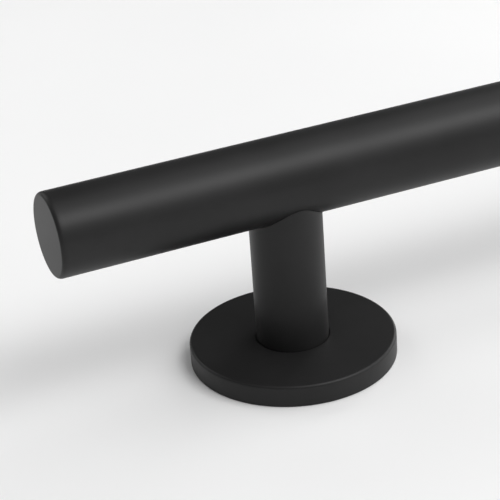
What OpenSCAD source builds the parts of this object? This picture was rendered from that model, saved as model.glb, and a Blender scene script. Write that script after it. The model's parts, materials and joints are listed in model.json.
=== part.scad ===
// Straight wall grab rail on two round posts, with a slide-up cover plate over each fixing.
// All sizes are in millimetres.
//
// Frame: the wall is the plane z = 0 and +Z points away from it. The grip runs along X.
// The origin lies on the wall, midway between the two posts.
// Every module below draws its piece at the left end. right() mirrors it to the other end.

/* [Grip] */
// Overall length of the rail, measured over both end caps
rail_l = 600; // [400:10:1000]
// Length of rail beyond each post's centre line
overhang = 92; // [60:1:140]
// Outside diameter of the grip tube
grip_d = 32; // [31:0.5:36]
// Wall thickness of the grip tube
grip_wall = 2; // [1.5:0.1:2.5]
// Distance from the wall to the grip's centre line
grip_h = 75; // [75:0.5:79]

/* [End caps] */
// Thickness of the disc that closes the tube
cap_t = 2; // [1.8:0.1:4]
// Rounding of the disc's outer edge
cap_edge_r = 1.5; // [0.5:0.1:1.7]
// Length of the plug that is pressed into the tube
cap_plug_l = 12; // [8:1:20]
// Wall thickness of the hollow plug
cap_plug_wall = 2.5; // [1.5:0.1:4]

/* [Posts] */
// Outside diameter of each post
post_d = 28; // [27.5:0.5:29]
// Inside diameter of each post
post_bore_d = 20; // [19.5:0.5:21]

/* [Mounting flanges] */
// Radial gap between the flange plate and the side wall of the cover over it
flange_gap = 1.5; // [1.2:0.1:1.7]
// Thickness of the flange plate
flange_t = 5; // [4.8:0.1:5]
// Diameter of the circle that the wall screws stand on
screw_pcd = 54; // [50:1:56]
// Number of wall screws in each flange
screw_count = 3; // [3:1:6]
// Diameter of the wall-screw holes
screw_hole_d = 6.5; // [5:0.5:7]
// Diameter of the countersinks for the screw heads
screw_head_d = 12; // [10:0.5:12]
// Height of the centring boss above the wall
boss_h = 16; // [15:0.5:20]
// Thickness of the sealing gasket behind each flange
gasket_t = 1; // [0.8:0.1:1]

/* [Cover plates] */
// Diameter of each cover plate
cover_d = 80; // [78:0.5:90]
// Height of the cover's flat top above the wall
cover_h = 8.6; // [8.6:0.1:10]
// Rounding of the cover's top edge
cover_edge_r = 1.1; // [0.5:0.1:1.3]
// Thickness of the cover's round side wall
cover_side = 1.5; // [1.4:0.1:2]
// Thickness of the cover's flat top
cover_top = 1.4; // [1.2:0.1:1.6]

/* [Fasteners] */
// Thread diameter of the bolt inside each post
bolt_d = 8; // [6:1:8]
// Length of that bolt under its head
bolt_l = 60; // [58:1:61]
// Diameter of the bolt's round head
bolt_head_d = 13; // [12:0.5:13]
// Height of the bolt's head
bolt_head_h = 8; // [6:0.5:8]
// Width across the flats of the bolt's hexagon socket
bolt_key = 6; // [4:0.5:7]
// Thickness of the lock washer under the bolt's head
washer_t = 1.2; // [0.8:0.1:1.5]
// Diameter of the dowel pins between post and flange
dowel_d = 2; // [1.5:0.1:2.4]
// Length of the dowel pins
dowel_l = 9; // [6:0.5:12]
// Length of the curved nut inside the tube, along the grip
nut_l = 26; // [16:1:40]
// Width of the curved nut
nut_w = 16; // [12:0.5:22]
// Height of the curved nut above the tube's inner wall
nut_h = 10; // [8:0.5:14]

/* [Rings] */
// Section diameter of the rubber ring that holds the cover on its flange
grip_ring_d = 2.4; // [2:0.1:2.4]
// Radial thickness of the glide ring between post and cover
glide_ring_t = 1.3; // [1:0.1:2]
// Height of the glide ring
glide_ring_h = 1.6; // [1.2:0.1:1.6]

/* [Hidden] */
$fn = 96;

// Radial clearance of parts that slide or turn on each other
run_gap = 0.06;
// Clearance of parts that are assembled once and stay put
seat_gap = 0.04;
// Gap between the cover's rim and the wall
wall_gap = 0.15;
// Radial clearance of a bolt, and of its head, in the holes that they pass
bolt_play = 0.5;
// Radial clearance of the lock washer on its bolt
washer_play = 0.2;
// Distance between the bolt's head and the back of the flange
bolt_head_sink = 0.4;
// Distance by which the gasket keeps clear of the flange's edges
gasket_inset = 0.5;
// Thickness of flange left under the dowel pins
dowel_floor = 1.2;
// Gap between the flange and the glide ring above it
glide_lift = 0.25;
// Gap between the post and the lip of the cover's hole
lip_gap = 0.25;
// Wall thickness of the collar around the glide ring
collar_wall = 1.4;
// Length by which a cutting tool passes the face that it cuts
over = 1;
// Steps along a rounded edge
round_steps = 8;

grip_r = grip_d / 2;
grip_inner_r = grip_r - grip_wall;
post_x = rail_l / 2 - overhang;
post_r = post_d / 2;
post_bore_r = post_bore_d / 2;
post_wall_r = (post_r + post_bore_r) / 2;

bolt_r = bolt_d / 2;
bolt_hole_r = bolt_r + bolt_play;
bolt_head_r = bolt_head_d / 2;
bolt_socket_depth = bolt_head_h / 2;
bolt_head_z = gasket_t + bolt_head_sink;
washer_z = bolt_head_z + bolt_head_h;
recess_top = washer_z + washer_t;
recess_r = bolt_head_r + bolt_play;

flange_top = gasket_t + flange_t;
boss_r = post_bore_r - seat_gap;
countersink_depth = (screw_head_d - screw_hole_d) / 2;
dowel_z = gasket_t + dowel_floor;

cover_r = cover_d / 2;
cover_inner_r = cover_r - cover_side;
flange_r = cover_inner_r - flange_gap;
gasket_r = flange_r - gasket_inset;
cover_ceiling = cover_h - cover_top;
grip_ring_r = grip_ring_d / 2;
grip_ring_path_r = cover_inner_r - run_gap - grip_ring_r;
grip_ring_z = gasket_t + flange_t / 2;
groove_floor_r = grip_ring_path_r - grip_ring_r - seat_gap;
groove_w = grip_ring_d + 2 * seat_gap;

glide_inner_r = post_r + run_gap;
glide_outer_r = glide_inner_r + glide_ring_t;
glide_seat_r = glide_outer_r + run_gap;
glide_z = flange_top + glide_lift;
glide_seat_top = glide_z + glide_ring_h + seat_gap;
collar_r = glide_seat_r + collar_wall;
lip_r = post_r + lip_gap;

coat_black = [0.15, 0.15, 0.155];
bare_steel = [0.66, 0.67, 0.69];
plated_steel = [0.78, 0.77, 0.73];
rubber_black = [0.07, 0.07, 0.07];
nylon_black = [0.2, 0.2, 0.21];

// Points along an arc of radius r about the point c, from angle a0 to angle a1
function arc(c, r, a0, a1) =
    [for (i = [0 : round_steps]) let (a = a0 + (a1 - a0) * i / round_steps) c + r * [cos(a), sin(a)]];

// Places a piece on the left post's centre line
module left() {
    translate([-post_x, 0, 0]) children();
}

// Places the mirror image of a piece on the right post's centre line
module right() {
    mirror([1, 0, 0]) left() children();
}

// Repeats a piece at each wall screw of the flange, with one screw on the +Y side
module at_screws() {
    for (i = [0 : screw_count - 1]) {
        rotate([0, 0, 90 + i * 360 / screw_count]) translate([screw_pcd / 2, 0, 0]) children();
    }
}

// Repeats a piece at both dowel pins, in the middle of the post's wall
module at_dowels() {
    for (side = [-1, 1]) translate([side * post_wall_r, 0, 0]) children();
}

// A cylinder along X, centred on the grip's centre line
module along_grip(r, l) {
    translate([0, 0, grip_h]) rotate([0, 90, 0]) cylinder(r = r, h = l, center = true);
}

// Thin-walled round tube, with one bolt hole in its wall side above each post
module grip_tube() {
    color(coat_black)
    difference() {
        along_grip(grip_r, rail_l - 2 * cap_t);
        along_grip(grip_inner_r, rail_l);
        for (side = [-1, 1]) {
            translate([side * post_x, 0, grip_h - grip_r - over])
                cylinder(r = bolt_hole_r, h = grip_wall + 3 * over);
        }
    }
}

// Flat disc with a rounded edge, and a hollow plug that fits inside the tube
module end_cap() {
    plug_r = grip_inner_r - seat_gap;
    cup_r = plug_r - cap_plug_wall;
    color(coat_black)
    translate([-overhang, 0, grip_h]) rotate([0, 90, 0]) rotate_extrude() polygon(concat(
        [[0, 0]],
        arc([grip_r - cap_edge_r, cap_edge_r], cap_edge_r, -90, 0),
        [[grip_r, cap_t], [plug_r, cap_t], [plug_r, cap_t + cap_plug_l]],
        [[cup_r, cap_t + cap_plug_l], [cup_r, cap_t], [0, cap_t]]
    ));
}

// Round hollow post, coped at the top to the underside of the tube
module post() {
    color(coat_black)
    difference() {
        translate([0, 0, flange_top]) cylinder(r = post_r, h = grip_h - flange_top);
        translate([0, 0, flange_top - over]) cylinder(r = post_bore_r, h = grip_h);
        along_grip(grip_r + seat_gap, 2 * grip_d);
        at_dowels() translate([0, 0, dowel_z]) cylinder(r = dowel_d / 2 + seat_gap, h = dowel_l + seat_gap);
    }
}

// Round plate with countersunk wall-screw holes, a groove for the cover's grip ring,
// and a centring boss that is recessed from behind for the bolt's head
module mounting_flange() {
    color(bare_steel)
    difference() {
        union() {
            translate([0, 0, gasket_t]) cylinder(r = flange_r, h = flange_t);
            cylinder_from(gasket_t, boss_h, boss_r);
        }
        cylinder_from(0, recess_top, recess_r);
        cylinder_from(0, boss_h + over, bolt_hole_r);
        translate([0, 0, grip_ring_z]) ring(groove_floor_r, flange_r + over, groove_w);
        at_screws() cylinder_from(0, flange_top + over, screw_hole_d / 2);
        at_screws() translate([0, 0, flange_top - countersink_depth])
            cylinder(r1 = screw_hole_d / 2, r2 = screw_head_d / 2 + over, h = countersink_depth + over);
        at_dowels() translate([0, 0, dowel_z - seat_gap])
            cylinder(r = dowel_d / 2 + seat_gap, h = flange_t);
    }
}

// A cylinder about the post's centre line, between two heights
module cylinder_from(z0, z1, r) {
    translate([0, 0, z0]) cylinder(r = r, h = z1 - z0);
}

// A flat ring, centred on z = 0
module ring(inner_r, outer_r, h) {
    difference() {
        cylinder(r = outer_r, h = h, center = true);
        cylinder(r = inner_r, h = h + 2 * over, center = true);
    }
}

// Thin sealing disc between flange and wall, open at the bolt's head and at each screw
module wall_gasket() {
    color(rubber_black)
    difference() {
        cylinder(r = gasket_r, h = gasket_t - seat_gap / 2);
        cylinder_from(-over, gasket_t + over, recess_r + 2 * gasket_inset);
        at_screws() cylinder_from(-over, gasket_t + over, screw_hole_d / 2 + gasket_inset);
    }
}

// Block inside the tube, curved to its inner wall, with the thread that the bolt screws into
module saddle_nut() {
    nut_z = grip_h - grip_inner_r;
    color(bare_steel)
    difference() {
        intersection() {
            along_grip(grip_inner_r - seat_gap, nut_l);
            translate([-nut_l / 2, -nut_w / 2, nut_z]) cube([nut_l, nut_w, nut_h]);
        }
        cylinder_from(nut_z - over, nut_z + nut_h + over, bolt_r + seat_gap);
    }
}

// Socket-head bolt that draws flange, post and tube together
module post_bolt() {
    color(plated_steel)
    difference() {
        union() {
            cylinder_from(bolt_head_z, washer_z, bolt_head_r);
            cylinder_from(washer_z - over, washer_z + bolt_l, bolt_r);
        }
        translate([0, 0, bolt_head_z - over])
            cylinder(d = bolt_key / cos(30), h = bolt_socket_depth + over, $fn = 6);
    }
}

// Flat lock washer between the bolt's head and the flange
module lock_washer() {
    color(plated_steel)
    translate([0, 0, washer_z + washer_t / 2])
        ring(bolt_r + washer_play, bolt_head_r, washer_t - seat_gap);
}

// Two pins that stop the post from turning on its flange
module dowel_pins() {
    color(plated_steel)
    at_dowels() cylinder_from(dowel_z, dowel_z + dowel_l, dowel_d / 2);
}

// Rubber ring in the flange's groove, which grips the inside of the cover
module cover_grip_ring() {
    color(rubber_black)
    translate([0, 0, grip_ring_z]) rotate_extrude() translate([grip_ring_path_r, 0]) circle(r = grip_ring_r);
}

// Low-friction ring that keeps the cover off the post's coating as it slides and turns
module glide_ring() {
    color(nylon_black)
    translate([0, 0, glide_z + glide_ring_h / 2]) ring(glide_inner_r, glide_outer_r, glide_ring_h);
}

// Shallow round cap with a flat top and a rounded edge, open towards the wall,
// with a collar around its centre hole that holds the glide ring
module cover_plate() {
    color(coat_black)
    rotate_extrude() polygon(concat(
        [[cover_inner_r, wall_gap], [cover_r, wall_gap]],
        arc([cover_r - cover_edge_r, cover_h - cover_edge_r], cover_edge_r, 0, 90),
        [[lip_r, cover_h], [lip_r, glide_seat_top], [glide_seat_r, glide_seat_top]],
        [[glide_seat_r, glide_z], [collar_r, glide_z]],
        [[collar_r, cover_ceiling], [cover_inner_r, cover_ceiling]]
    ));
}

grip_tube();
left() end_cap();  // end_cap_left
right() end_cap();  // end_cap_right
left() post();  // post_left
right() post();  // post_right
left() mounting_flange();  // mounting_flange_left
right() mounting_flange();  // mounting_flange_right
left() wall_gasket();  // wall_gasket_left
right() wall_gasket();  // wall_gasket_right
left() saddle_nut();  // saddle_nut_left
right() saddle_nut();  // saddle_nut_right
left() post_bolt();  // post_bolt_left
right() post_bolt();  // post_bolt_right
left() lock_washer();  // lock_washer_left
right() lock_washer();  // lock_washer_right
left() dowel_pins();  // dowel_pins_left
right() dowel_pins();  // dowel_pins_right
left() cover_grip_ring();  // cover_grip_ring_left
right() cover_grip_ring();  // cover_grip_ring_right
left() glide_ring();  // glide_ring_left
right() glide_ring();  // glide_ring_right
left() cover_plate();  // cover_plate_left
right() cover_plate();  // cover_plate_right
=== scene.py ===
"""Looks of the wall grab rail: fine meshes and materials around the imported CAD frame."""

import json
import math

import bmesh
import bpy
from mathutils import Matrix, Vector


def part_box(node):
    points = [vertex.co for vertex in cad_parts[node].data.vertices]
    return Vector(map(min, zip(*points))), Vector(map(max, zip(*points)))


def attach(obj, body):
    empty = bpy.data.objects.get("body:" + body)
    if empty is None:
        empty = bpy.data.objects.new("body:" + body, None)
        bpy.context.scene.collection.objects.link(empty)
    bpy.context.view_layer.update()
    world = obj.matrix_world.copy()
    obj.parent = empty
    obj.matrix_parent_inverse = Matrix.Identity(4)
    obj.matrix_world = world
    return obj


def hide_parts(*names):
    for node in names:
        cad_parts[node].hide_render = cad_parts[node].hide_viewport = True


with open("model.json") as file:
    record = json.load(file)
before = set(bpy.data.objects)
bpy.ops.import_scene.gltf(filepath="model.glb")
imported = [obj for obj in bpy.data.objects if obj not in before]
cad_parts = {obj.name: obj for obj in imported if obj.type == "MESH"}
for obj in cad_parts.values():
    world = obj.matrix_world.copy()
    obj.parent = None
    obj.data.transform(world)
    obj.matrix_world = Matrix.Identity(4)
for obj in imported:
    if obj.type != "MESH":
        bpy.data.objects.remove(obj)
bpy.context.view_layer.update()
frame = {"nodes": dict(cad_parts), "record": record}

# ---------------------------------------------------------------- sizes

MM = 0.001
SIDES = (("left", -1), ("right", 1))
SMOOTH_ANGLE = math.radians(32)
MERGE_GAP = 0.002 * MM
AXIS_GAP = 1e-7

# From the frame. The left end gives the sizes, and the right end mirrors it.
tube_low, tube_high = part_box("grip_tube")
cap_low, cap_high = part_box("end_cap_left")
post_low, post_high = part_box("post_left")
cover_low, cover_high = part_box("cover_plate_left")
flange_low, flange_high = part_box("mounting_flange_left")
bolt_low, bolt_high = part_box("post_bolt_left")
washer_low, washer_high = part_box("lock_washer_left")
glide_low, glide_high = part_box("glide_ring_left")
grip_ring_low, grip_ring_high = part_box("cover_grip_ring_left")
dowel_low, dowel_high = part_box("dowel_pins_left")
mounts = {mount["name"]: mount for mount in frame["record"]["mounts"]}
screws = mounts["wall_screws_left"]["dims"]


def half_width(low, high):
    """Radius of an upright round node, from the corners of its box."""
    return (high.x - low.x) / 2


GRIP_R = (tube_high.z - tube_low.z) / 2
GRIP_H = (tube_high.z + tube_low.z) / 2
TUBE_END = tube_high.x
RAIL_END = -cap_low.x
CAP_T = RAIL_END - TUBE_END
CAP_L = cap_high.x - cap_low.x
POST_X = -(post_low.x + post_high.x) / 2
POST_R = half_width(post_low, post_high)
POST_FOOT = post_low.z
COVER_R = half_width(cover_low, cover_high)
COVER_FOOT = cover_low.z
COVER_TOP = cover_high.z
FLANGE_R = half_width(flange_low, flange_high)
FLANGE_FOOT = flange_low.z
BOSS_TOP = flange_high.z
HEAD_R = half_width(bolt_low, bolt_high)
HEAD_FOOT = bolt_low.z
HEAD_TOP = washer_low.z
BOLT_TOP = bolt_high.z
GLIDE_R = half_width(glide_low, glide_high)
GRIP_RING_R = (grip_ring_high.z - grip_ring_low.z) / 2
GRIP_RING_Z = (grip_ring_high.z + grip_ring_low.z) / 2
GRIP_RING_OUTER = half_width(grip_ring_low, grip_ring_high)
DOWEL_R = (dowel_high.y - dowel_low.y) / 2
DOWEL_PATH_R = half_width(dowel_low, dowel_high) - DOWEL_R

# Inner sizes that a node's box doesn't tell
TUBE_WALL = 2 * MM
POST_BORE_R = 10 * MM
BOSS_R = 9.96 * MM
BOLT_R = 4 * MM
BOLT_HOLE_R = 4.5 * MM
RECESS_R = 7 * MM
COVER_WALL = 1.5 * MM
COVER_ROOF = 1.4 * MM
COVER_EDGE_R = 1.1 * MM
COVER_LIP_R = POST_R + 0.25 * MM
COVER_LIP_EDGE_R = 0.35 * MM
COLLAR_WALL = 1.4 * MM
CAP_EDGE_IN = 1.2 * MM
CAP_EDGE_ALONG = 1.8 * MM
CAP_PLUG_WALL = 2.5 * MM
SEAT_GAP = 0.04 * MM
RUN_GAP = 0.06 * MM
COUNTERSINK_R = 6 * MM
SCREW_KEY_R = 3.46 * MM
THREAD_PITCH = 1.25 * MM
THREAD_DEPTH = 0.7 * MM
THREAD_L = 28 * MM

# Past a surface, so that a cut goes cleanly through it
OVERCUT = 1 * MM

# ---------------------------------------------------------------- mesh tools


def finish_mesh(name, mesh):
    """Closes a new mesh's normals, shades it smooth with crisp edges, and makes it an object."""
    bm = bmesh.new()
    bm.from_mesh(mesh)
    bmesh.ops.recalc_face_normals(bm, faces=bm.faces)
    bm.to_mesh(mesh)
    bm.free()
    mesh.shade_smooth()
    mesh.set_sharp_from_angle(angle=SMOOTH_ANGLE)
    piece = bpy.data.objects.new(name, mesh)
    bpy.context.scene.collection.objects.link(piece)
    return piece


def circle(radius, height, steps):
    """Points around Z at one height."""
    turns = [math.tau * i / steps for i in range(steps)]
    return [Vector((radius * math.cos(t), radius * math.sin(t), height)) for t in turns]


def loft(name, rings, closed=False):
    """Skin over rings of points.

    A ring of one point is a pole, and closed joins the last ring to the first.
    """
    points, starts = [], []
    for ring in rings:
        starts.append(len(points))
        points.extend(ring)
    steps = max(len(ring) for ring in rings)
    order = list(range(len(rings))) + ([0] if closed else [])
    faces = []
    for a, b in zip(order, order[1:]):
        for i in range(steps):
            j = (i + 1) % steps
            corners = [starts[a] + (i if len(rings[a]) > 1 else 0)]
            if len(rings[a]) > 1:
                corners.append(starts[a] + j)
            if len(rings[b]) > 1:
                corners.append(starts[b] + j)
            corners.append(starts[b] + (i if len(rings[b]) > 1 else 0))
            faces.append(corners)
    mesh = bpy.data.meshes.new(name)
    mesh.from_pydata(points, [], faces)
    return finish_mesh(name, mesh)


def lathe(name, profile, steps=160):
    """Solid of revolution about Z.

    The profile of (radius, height) points is closed, or starts and ends on the axis.
    """
    rings = []
    for radius, height in profile:
        rings.append([Vector((0, 0, height))] if radius < AXIS_GAP else circle(radius, height, steps))
    return loft(name, rings, closed=len(rings[0]) > 1)


def rounded(corners, steps=6):
    """Profile through corners (radius, height, rounding), with an arc at each rounded one.

    A support point beside each arc keeps the flat or round face next to it evenly shaded.
    """
    support = 0.25 * MM
    count = len(corners)
    on_axis = corners[0][0] < AXIS_GAP
    profile = []
    for i, (r, z, rounding) in enumerate(corners):
        here = Vector((r, z))
        if rounding == 0 or (on_axis and i in (0, count - 1)):
            profile.append((r, z))
            continue
        before = Vector(corners[i - 1][:2]) - here
        after = Vector(corners[(i + 1) % count][:2]) - here
        half = before.angle(after) / 2
        reach = rounding / math.tan(half)
        start = here + before.normalized() * reach
        end = here + after.normalized() * reach
        centre = here + (before.normalized() + after.normalized()).normalized() * (rounding / math.sin(half))
        if before.length > reach + 2 * support:
            profile.append(tuple(start + before.normalized() * support))
        for k in range(steps + 1):
            arm = (start - centre).lerp(end - centre, k / steps).normalized() * rounding
            profile.append(tuple(centre + arm))
        if after.length > reach + 2 * support:
            profile.append(tuple(end + after.normalized() * support))
    return profile


def cut(piece, tools):
    """Cuts tool solids out of a piece, removes them, and merges points that nearly meet."""
    for tool in tools:
        modifier = piece.modifiers.new("cut", "BOOLEAN")
        modifier.operation = "DIFFERENCE"
        modifier.solver = "EXACT"
        modifier.object = tool
    bpy.context.view_layer.update()
    mesh = bpy.data.meshes.new_from_object(piece.evaluated_get(bpy.context.evaluated_depsgraph_get()))
    piece.modifiers.clear()
    piece.data = mesh
    for tool in tools:
        bpy.data.objects.remove(tool)
    bm = bmesh.new()
    bm.from_mesh(mesh)
    bmesh.ops.remove_doubles(bm, verts=bm.verts, dist=MERGE_GAP)
    bmesh.ops.dissolve_degenerate(bm, edges=bm.edges, dist=MERGE_GAP)
    bm.to_mesh(mesh)
    bm.free()
    mesh.shade_smooth()
    mesh.set_sharp_from_angle(angle=SMOOTH_ANGLE)


def drill(radius, z0, z1, x, steps):
    """A round cutting tool between two heights."""
    tool = lathe("drill", [(0, z0), (radius, z0), (radius, z1), (0, z1)], steps)
    tool.location = (x, 0, 0)
    return tool


# ---------------------------------------------------------------- materials


# Noise at or past these limits gives the ends of a spread or a tint
SPREAD_LIMITS = (0.3, 0.7)
TINT_LIMITS = (0.35, 0.65)


class Surface:
    """A procedural material, built around one Principled shader."""

    def __init__(self, name, **sockets):
        self.material = bpy.data.materials.new(name)
        self.material.use_nodes = True
        self.nodes = self.material.node_tree.nodes
        self.links = self.material.node_tree.links
        self.shader = self.nodes["Principled BSDF"]
        for socket, value in sockets.items():
            self.shader.inputs[socket.replace("_", " ")].default_value = value
        self.place = self.nodes.new("ShaderNodeTexCoord").outputs["Object"]
        self.bump = None

    def noise(self, scale, detail=2.0, stretch=(1, 1, 1)):
        """Noise in object space. The scale is in waves per metre."""
        mapping = self.nodes.new("ShaderNodeMapping")
        mapping.inputs["Scale"].default_value = stretch
        self.links.new(self.place, mapping.inputs["Vector"])
        noise = self.nodes.new("ShaderNodeTexNoise")
        noise.inputs["Scale"].default_value = scale
        noise.inputs["Detail"].default_value = detail
        self.links.new(mapping.outputs["Vector"], noise.inputs["Vector"])
        return noise.outputs["Fac"]

    def rings(self, scale, distortion):
        """Fine turned rings around the object's own upright axis."""
        wave = self.nodes.new("ShaderNodeTexWave")
        wave.wave_type = "RINGS"
        wave.rings_direction = "Z"
        wave.inputs["Scale"].default_value = scale
        wave.inputs["Distortion"].default_value = distortion
        self.links.new(self.place, wave.inputs["Vector"])
        return wave.outputs["Fac"]

    def spread(self, source, low, high, socket):
        """Spreads a 0 to 1 pattern between two values of a shader socket."""
        limits = self.nodes.new("ShaderNodeMapRange")
        limits.inputs["From Min"].default_value = SPREAD_LIMITS[0]
        limits.inputs["From Max"].default_value = SPREAD_LIMITS[1]
        limits.inputs["To Min"].default_value = low
        limits.inputs["To Max"].default_value = high
        self.links.new(source, limits.inputs["Value"])
        self.links.new(limits.outputs["Result"], self.shader.inputs[socket])

    def tint(self, source, low, high):
        """Spreads a pattern between two colours of the surface."""
        ramp = self.nodes.new("ShaderNodeValToRGB")
        for element, position, color in zip(ramp.color_ramp.elements, TINT_LIMITS, (low, high)):
            element.position = position
            element.color = (*color, 1)
        self.links.new(source, ramp.inputs["Fac"])
        self.links.new(ramp.outputs["Color"], self.shader.inputs["Base Color"])

    def relief(self, source, height):
        """Adds a bump of that height, in metres, over any relief already there."""
        bump = self.nodes.new("ShaderNodeBump")
        bump.inputs["Strength"].default_value = 1.0
        bump.inputs["Distance"].default_value = height
        self.links.new(source, bump.inputs["Height"])
        if self.bump is not None:
            self.links.new(self.bump.outputs["Normal"], bump.inputs["Normal"])
        self.links.new(bump.outputs["Normal"], self.shader.inputs["Normal"])
        self.bump = bump


def powder_coat():
    """Satin black powder coat, with fine orange peel and a soft mottle."""
    s = Surface("black_powder_coat", Roughness=0.45, IOR=1.36)
    s.tint(s.noise(38, 4), (0.0096, 0.0095, 0.0096), (0.0132, 0.0130, 0.0132))
    s.spread(s.noise(14, 5), 0.42, 0.48, "Roughness")
    s.relief(s.noise(420, 2), 0.012 * MM)
    s.relief(s.noise(2100, 1), 0.004 * MM)
    return s.material


def turned_steel():
    """Bare stainless steel, turned on a lathe."""
    s = Surface("turned_stainless", Metallic=1.0, Roughness=0.3)
    s.tint(s.noise(60, 3), (0.50, 0.51, 0.52), (0.60, 0.61, 0.62))
    s.spread(s.noise(90, 4), 0.24, 0.38, "Roughness")
    s.relief(s.rings(420, 0.6), 0.003 * MM)
    return s.material


def zinc_plate():
    """Bright zinc plating, slightly cloudy."""
    s = Surface("zinc_plate", Metallic=1.0, Roughness=0.32)
    s.tint(s.noise(140, 4), (0.60, 0.60, 0.57), (0.74, 0.73, 0.69))
    s.spread(s.noise(300, 3), 0.26, 0.42, "Roughness")
    s.relief(s.noise(1800, 2), 0.003 * MM)
    return s.material


def milled_steel():
    """Bare stainless steel with straight machining marks along the grip."""
    s = Surface("milled_stainless", Metallic=1.0, Roughness=0.35)
    s.tint(s.noise(70, 3), (0.50, 0.51, 0.52), (0.60, 0.61, 0.62))
    s.spread(s.noise(500, 3, stretch=(0.06, 1, 1)), 0.27, 0.42, "Roughness")
    s.relief(s.noise(1600, 1, stretch=(0.04, 1, 1)), 0.003 * MM)
    return s.material


def rubber():
    """Matt black moulded rubber."""
    s = Surface("black_rubber", Roughness=0.78, IOR=1.5)
    s.tint(s.noise(80, 4), (0.014, 0.014, 0.014), (0.024, 0.024, 0.023))
    s.spread(s.noise(160, 3), 0.68, 0.86, "Roughness")
    s.relief(s.noise(1500, 3), 0.012 * MM)
    return s.material


def nylon():
    """Black turned nylon, slightly waxy."""
    s = Surface("black_nylon", Roughness=0.5, IOR=1.53)
    s.tint(s.noise(90, 3), (0.020, 0.020, 0.021), (0.030, 0.030, 0.031))
    s.spread(s.noise(200, 3), 0.42, 0.56, "Roughness")
    s.relief(s.noise(900, 2), 0.006 * MM)
    return s.material


COAT = powder_coat()
TURNED = turned_steel()
ZINC = zinc_plate()
MILLED = milled_steel()
RUBBER = rubber()
NYLON = nylon()

# ---------------------------------------------------------------- pieces


def place(piece, node, body, material):
    """Puts a finished piece on its body in place of the CAD node that it shows."""
    piece.data.materials.clear()
    piece.data.materials.append(material)
    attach(piece, body)
    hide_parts(node)


def make_grip_tube():
    """Thin-walled tube with a drilled hole over each post. It lies along X."""
    inner = GRIP_R - TUBE_WALL
    edge = 0.03 * MM
    hole_steps = 64
    tube = lathe("grip_tube_fine", rounded([
        (inner, -TUBE_END, edge), (GRIP_R, -TUBE_END, edge),
        (GRIP_R, TUBE_END, edge), (inner, TUBE_END, edge),
    ], steps=3))
    tube.data.transform(Matrix.Rotation(math.pi / 2, 4, "Y"))
    tube.location = (0, 0, GRIP_H)
    wall_side = GRIP_H - GRIP_R
    cut(tube, [
        drill(BOLT_HOLE_R, wall_side - OVERCUT, wall_side + 2 * TUBE_WALL, sign * POST_X, hole_steps)
        for _, sign in SIDES
    ])
    place(tube, "grip_tube", "frame", COAT)


def make_end_cap(side, sign):
    """Flat disc with a softened edge, and a hollow plug inside the tube."""
    plug = GRIP_R - TUBE_WALL - SEAT_GAP
    cup = plug - CAP_PLUG_WALL
    face_edge = 0.25 * MM
    rim_edge = 0.6 * MM
    lip_edge = 0.3 * MM
    steps = 12
    turns = [math.pi / 2 * i / steps for i in range(steps + 1)]
    face_r = GRIP_R - CAP_EDGE_IN
    edge = [(face_r + CAP_EDGE_IN * math.sin(t), CAP_EDGE_ALONG * (1 - math.cos(t))) for t in turns]
    back = rounded([
        (plug, CAP_T, 0), (plug, CAP_L, rim_edge), (cup, CAP_L, lip_edge), (cup, CAP_T, rim_edge),
        (0, CAP_T, 0),
    ])
    cap = lathe(f"end_cap_{side}_fine", [(0, 0), (face_r - face_edge, 0), *edge, (GRIP_R, CAP_T), *back])
    cap.data.transform(Matrix.Rotation(-sign * math.pi / 2, 4, "Y"))
    cap.location = (sign * RAIL_END, 0, GRIP_H)
    place(cap, f"end_cap_{side}", "frame", COAT)


def make_post(side, sign):
    """Hollow post whose top follows the tube's underside, with a fine break along its outer edge."""
    steps = 192
    hole_steps = 32
    cope_r = GRIP_R + SEAT_GAP
    edge = 0.25 * MM

    def ring(radius, height):
        return circle(radius, height, steps)

    def coped_ring(radius, drop=0.0):
        points = circle(radius, 0, steps)
        for point in points:
            point.z = GRIP_H - math.sqrt(cope_r ** 2 - point.y ** 2) - drop
        return points

    rings = [
        ring(POST_BORE_R + edge, POST_FOOT), ring(POST_R - edge, POST_FOOT),
        ring(POST_R, POST_FOOT + edge), ring(POST_R, POST_FOOT + 2 * edge),
        coped_ring(POST_R, 2 * edge), coped_ring(POST_R, edge), coped_ring(POST_R - edge),
        coped_ring((POST_R + POST_BORE_R) / 2), coped_ring(POST_BORE_R + edge),
        coped_ring(POST_BORE_R, edge), ring(POST_BORE_R, POST_FOOT + edge),
    ]
    post = loft(f"post_{side}_fine", rings, closed=True)
    hole_top = dowel_high.z + SEAT_GAP
    cut(post, [
        drill(DOWEL_R + SEAT_GAP, POST_FOOT - OVERCUT, hole_top, end * DOWEL_PATH_R, hole_steps)
        for _, end in SIDES
    ])
    post.location = (sign * POST_X, 0, 0)
    place(post, f"post_{side}", "frame", COAT)


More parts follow.
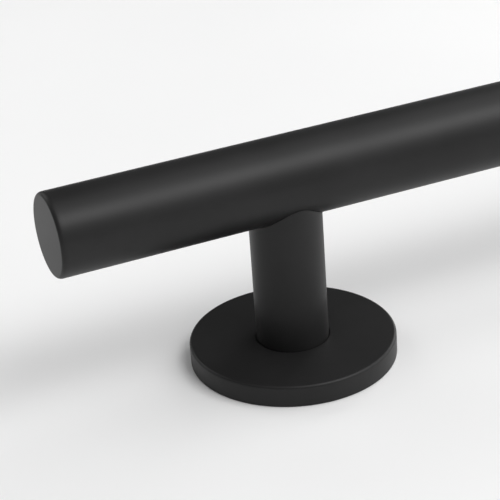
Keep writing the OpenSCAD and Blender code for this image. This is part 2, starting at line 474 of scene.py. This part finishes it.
def make_flange(side, sign):
    """Round plate with countersunk screw holes, a groove in its rim and a recessed boss."""
    fine = 0.3 * MM
    sharp = 0.1 * MM
    hole_steps, dowel_steps = 64, 32
    groove = GRIP_RING_R + SEAT_GAP
    groove_floor = GRIP_RING_OUTER - 2 * GRIP_RING_R - SEAT_GAP
    flange = lathe(f"mounting_flange_{side}_fine", rounded([
        (RECESS_R, FLANGE_FOOT, fine), (FLANGE_R, FLANGE_FOOT, fine),
        (FLANGE_R, GRIP_RING_Z - groove, sharp), (groove_floor, GRIP_RING_Z - groove, sharp),
        (groove_floor, GRIP_RING_Z + groove, sharp), (FLANGE_R, GRIP_RING_Z + groove, sharp),
        (FLANGE_R, POST_FOOT, 2 * fine), (BOSS_R, POST_FOOT, fine),
        (BOSS_R, BOSS_TOP, 2 * fine), (BOLT_HOLE_R, BOSS_TOP, fine),
        (BOLT_HOLE_R, washer_high.z, 0), (RECESS_R, washer_high.z, 0),
    ], steps=4))
    hole_r = screws["hole_r_mm"] * MM
    path_r = screws["pcd_mm"] / 2 * MM
    count = screws["count"]
    taper = COUNTERSINK_R - hole_r
    tools = []
    for i in range(count):
        angle = math.pi / 2 + math.tau * i / count
        tool = lathe("countersink", [
            (0, FLANGE_FOOT - OVERCUT), (hole_r, FLANGE_FOOT - OVERCUT), (hole_r, POST_FOOT - taper),
            (COUNTERSINK_R + OVERCUT, POST_FOOT + OVERCUT), (0, POST_FOOT + OVERCUT),
        ], hole_steps)
        tool.location = (path_r * math.cos(angle), path_r * math.sin(angle), 0)
        tools.append(tool)
    for _, end in SIDES:
        tools.append(drill(
            DOWEL_R + SEAT_GAP, dowel_low.z - SEAT_GAP, POST_FOOT + OVERCUT, end * DOWEL_PATH_R, dowel_steps))
    cut(flange, tools)
    flange.location = (sign * POST_X, 0, 0)
    place(flange, f"mounting_flange_{side}", "frame", TURNED)


def make_bolt(side, sign):
    """Socket-head bolt with a rolled thread on its upper end."""
    steps, per_pitch = 48, 8
    rounding = 0.7 * MM
    edge = 0.2 * MM
    lead_in = 1 * MM
    last_thread = 0.35
    tip_r = BOLT_R - 1.1 * THREAD_DEPTH

    def ring(radius, height):
        return circle(radius, height, steps)

    def thread_ring(height, fade):
        points = []
        for i in range(steps):
            t = math.tau * i / steps
            phase = (height / THREAD_PITCH - t / math.tau) % 1.0
            radius = BOLT_R - THREAD_DEPTH * fade * abs(2 * phase - 1)
            points.append(Vector((radius * math.cos(t), radius * math.sin(t), height)))
        return points

    rings = [[Vector((0, 0, HEAD_FOOT))], ring(HEAD_R - rounding, HEAD_FOOT)]
    rings += [ring(HEAD_R - rounding + rounding * math.sin(a), HEAD_FOOT + rounding - rounding * math.cos(a))
              for a in (math.pi / 8, math.pi / 4, math.pi * 3 / 8, math.pi / 2)]
    rings += [ring(HEAD_R, HEAD_TOP - edge), ring(HEAD_R - edge, HEAD_TOP), ring(BOLT_R, HEAD_TOP)]
    thread_start = BOLT_TOP - THREAD_L
    rings.append(ring(BOLT_R, thread_start - THREAD_PITCH))
    count = int(THREAD_L / THREAD_PITCH * per_pitch)
    for i in range(count + 1):
        height = thread_start + (THREAD_L - lead_in) * i / count
        fade = min(1.0, i / per_pitch, (count - i) / per_pitch + last_thread)
        rings.append(thread_ring(height, fade))
    rings += [ring(tip_r, BOLT_TOP), [Vector((0, 0, BOLT_TOP))]]
    bolt = loft(f"post_bolt_{side}_fine", rings)
    socket_floor = HEAD_FOOT + (HEAD_TOP - HEAD_FOOT) / 2
    socket_cone = 1.2 * MM
    hexagon = 6
    cut(bolt, [lathe("socket", [
        (0, HEAD_FOOT - OVERCUT), (SCREW_KEY_R, HEAD_FOOT - OVERCUT),
        (SCREW_KEY_R, socket_floor), (0, socket_floor + socket_cone),
    ], hexagon)])
    bolt.location = (sign * POST_X, 0, 0)
    place(bolt, f"post_bolt_{side}", "frame", ZINC)


def make_cover(side, sign):
    """Shallow cap with a flat top, a rounded edge, and a collar for the glide ring."""
    inner = COVER_R - COVER_WALL
    roof = COVER_TOP - COVER_ROOF
    seat_r = GLIDE_R + RUN_GAP
    seat_top = glide_high.z + SEAT_GAP
    collar = seat_r + COLLAR_WALL
    fine = 0.3 * MM
    sharp = 0.1 * MM
    inner_corner = 0.8 * MM
    cover = lathe(f"cover_plate_{side}_fine", rounded([
        (inner, COVER_FOOT, fine), (COVER_R, COVER_FOOT, fine), (COVER_R, COVER_TOP, COVER_EDGE_R),
        (COVER_LIP_R, COVER_TOP, COVER_LIP_EDGE_R), (COVER_LIP_R, seat_top, 0), (seat_r, seat_top, 0),
        (seat_r, glide_low.z, sharp), (collar, glide_low.z, sharp),
        (collar, roof, fine), (inner, roof, inner_corner),
    ], steps=8), steps=256)
    cover.location = (sign * POST_X, 0, 0)
    place(cover, f"cover_plate_{side}", f"cover_{side}", COAT)


make_grip_tube()
for side, sign in SIDES:
    make_end_cap(side, sign)
    make_post(side, sign)
    make_flange(side, sign)
    make_bolt(side, sign)
    make_cover(side, sign)

# CAD nodes whose shape is right as it is
KEPT = {
    "wall_gasket": RUBBER,
    "cover_grip_ring": RUBBER,
    "glide_ring": NYLON,
    "saddle_nut": MILLED,
    "lock_washer": ZINC,
    "dowel_pins": ZINC,
}
for name, material in KEPT.items():
    for side, _ in SIDES:
        node = frame["nodes"][f"{name}_{side}"]
        node.data.materials.clear()
        node.data.materials.append(material)

# ---------------------------------------------------------------- floor, light and camera

# Directions point from the rail to the light, and light levels are in scene brightness
BRIGHT_SIDE = (0.8, 0.5, 0.3)
BRIGHT_ANGLES = (20, 125)
ROOM_LIGHT = (1.16, 0.28)
DARK_SIDE = (-0.02, 0.85, 0.52)
DARK_ANGLES = (30, 52)
ROOM_SHADE = (0.05, 1.0)
SEEN_LIGHT = 0.92

# Name, direction, distance, width and height in metres, radiance
LIGHTS = (
    ("key_light", (0.34, -0.48, 0.84), 1.7, 1.35, 0.62, 5.6),
    ("right_light", (0.95, 0.34, 0.45), 1.3, 0.9, 0.7, 2.3),
    ("left_light", (-0.4, 0.75, 0.55), 1.0, 0.6, 0.5, 1.5),
)

FLOOR_HALF = 6.0
FLOOR_DARK = 0.88
FLOOR_PALE = 0.91

# Angles in degrees and focal length and sensor width in millimetres, as Blender takes them
CAMERA_TURN = -22.17
CAMERA_LIFT = 26.807
CAMERA_ROLL = -4.217
CAMERA_DISTANCE = 703.137 * MM
CAMERA_AIM = (-15.204 * MM, 0, 48.951 * MM)
CAMERA_LENS = 135.45
CAMERA_SENSOR = 36
CAMERA_CLIP = 10 * MM


def make_floor():
    """A plain, pale, matt surface with the least unevenness."""
    corners = [(x * FLOOR_HALF, y * FLOOR_HALF, 0) for x, y in ((-1, -1), (1, -1), (1, 1), (-1, 1))]
    mesh = bpy.data.meshes.new("floor")
    mesh.from_pydata(corners, [], [(0, 1, 2, 3)])
    floor = bpy.data.objects.new("floor", mesh)
    bpy.context.scene.collection.objects.link(floor)
    s = Surface("pale_floor", Roughness=0.7)
    s.tint(s.noise(3, 3), (FLOOR_DARK,) * 3, (FLOOR_PALE,) * 3)
    mesh.materials.append(s.material)


def make_softbox(name, direction, distance, width, height, radiance):
    """A rectangular light of even brightness, aimed at the foot of the left post."""
    light = bpy.data.lights.new(name, "AREA")
    light.shape = "RECTANGLE"
    light.size = width
    light.size_y = height
    light.energy = radiance * math.pi * width * height
    holder = bpy.data.objects.new(name, light)
    bpy.context.scene.collection.objects.link(holder)
    aim = Vector((-POST_X, 0, 0))
    place_at = Vector(direction).normalized() * distance + aim
    holder.location = place_at
    holder.rotation_euler = (place_at - aim).to_track_quat("Z", "Y").to_euler()


def make_room():
    """Pale surroundings, brighter behind and to the right, with a dark patch behind the rail.

    The lens itself sees an even off-white.
    """
    world = bpy.data.worlds.new("studio")
    bpy.context.scene.world = world
    world.use_nodes = True
    nodes, links = world.node_tree.nodes, world.node_tree.links
    nodes.clear()
    direction = nodes.new("ShaderNodeTexCoord")

    def fade(toward, angles, levels):
        """Level that changes smoothly with the angle away from a direction."""
        along = nodes.new("ShaderNodeVectorMath")
        along.operation = "DOT_PRODUCT"
        along.inputs[1].default_value = Vector(toward).normalized()
        links.new(direction.outputs["Generated"], along.inputs[0])
        change = nodes.new("ShaderNodeMapRange")
        change.interpolation_type = "SMOOTHSTEP"
        change.inputs["From Min"].default_value = math.cos(math.radians(angles[1]))
        change.inputs["From Max"].default_value = math.cos(math.radians(angles[0]))
        change.inputs["To Min"].default_value = levels[1]
        change.inputs["To Max"].default_value = levels[0]
        links.new(along.outputs["Value"], change.inputs["Value"])
        return change.outputs["Result"]

    both = nodes.new("ShaderNodeMath")
    both.operation = "MULTIPLY"
    links.new(fade(BRIGHT_SIDE, BRIGHT_ANGLES, ROOM_LIGHT), both.inputs[0])
    links.new(fade(DARK_SIDE, DARK_ANGLES, ROOM_SHADE), both.inputs[1])
    room = nodes.new("ShaderNodeBackground")
    links.new(both.outputs["Value"], room.inputs["Strength"])
    seen = nodes.new("ShaderNodeBackground")
    seen.inputs["Strength"].default_value = SEEN_LIGHT
    for background in (room, seen):
        background.inputs["Color"].default_value = (1, 1, 1, 1)
    kind = nodes.new("ShaderNodeLightPath")
    pick = nodes.new("ShaderNodeMixShader")
    links.new(kind.outputs["Is Camera Ray"], pick.inputs["Fac"])
    links.new(room.outputs["Background"], pick.inputs[1])
    links.new(seen.outputs["Background"], pick.inputs[2])
    output = nodes.new("ShaderNodeOutputWorld")
    links.new(pick.outputs["Shader"], output.inputs["Surface"])


def make_camera():
    """The camera, aimed at a point beside the left post, slightly rolled, with no lens shift."""
    turn, lift, roll = (math.radians(a) for a in (CAMERA_TURN, CAMERA_LIFT, CAMERA_ROLL))
    back = Vector((math.sin(turn) * math.cos(lift), -math.cos(turn) * math.cos(lift), math.sin(lift)))
    across = Vector((0, 0, 1)).cross(back).normalized()
    up = back.cross(across)
    right = across * math.cos(roll) + up * math.sin(roll)
    top = up * math.cos(roll) - across * math.sin(roll)
    target = Vector((-POST_X, 0, 0)) + Vector(CAMERA_AIM)
    data = bpy.data.cameras.new("camera")
    data.lens = CAMERA_LENS
    data.sensor_width = CAMERA_SENSOR
    data.clip_start = CAMERA_CLIP
    camera = bpy.data.objects.new("camera", data)
    bpy.context.scene.collection.objects.link(camera)
    camera.matrix_world = Matrix.Translation(target + back * CAMERA_DISTANCE) @ Matrix(
        (right, top, back)).transposed().to_4x4()
    bpy.context.scene.camera = camera


make_floor()
make_room()
for light in LIGHTS:
    make_softbox(*light)
make_camera()
bpy.context.scene.view_settings.view_transform = "Standard"
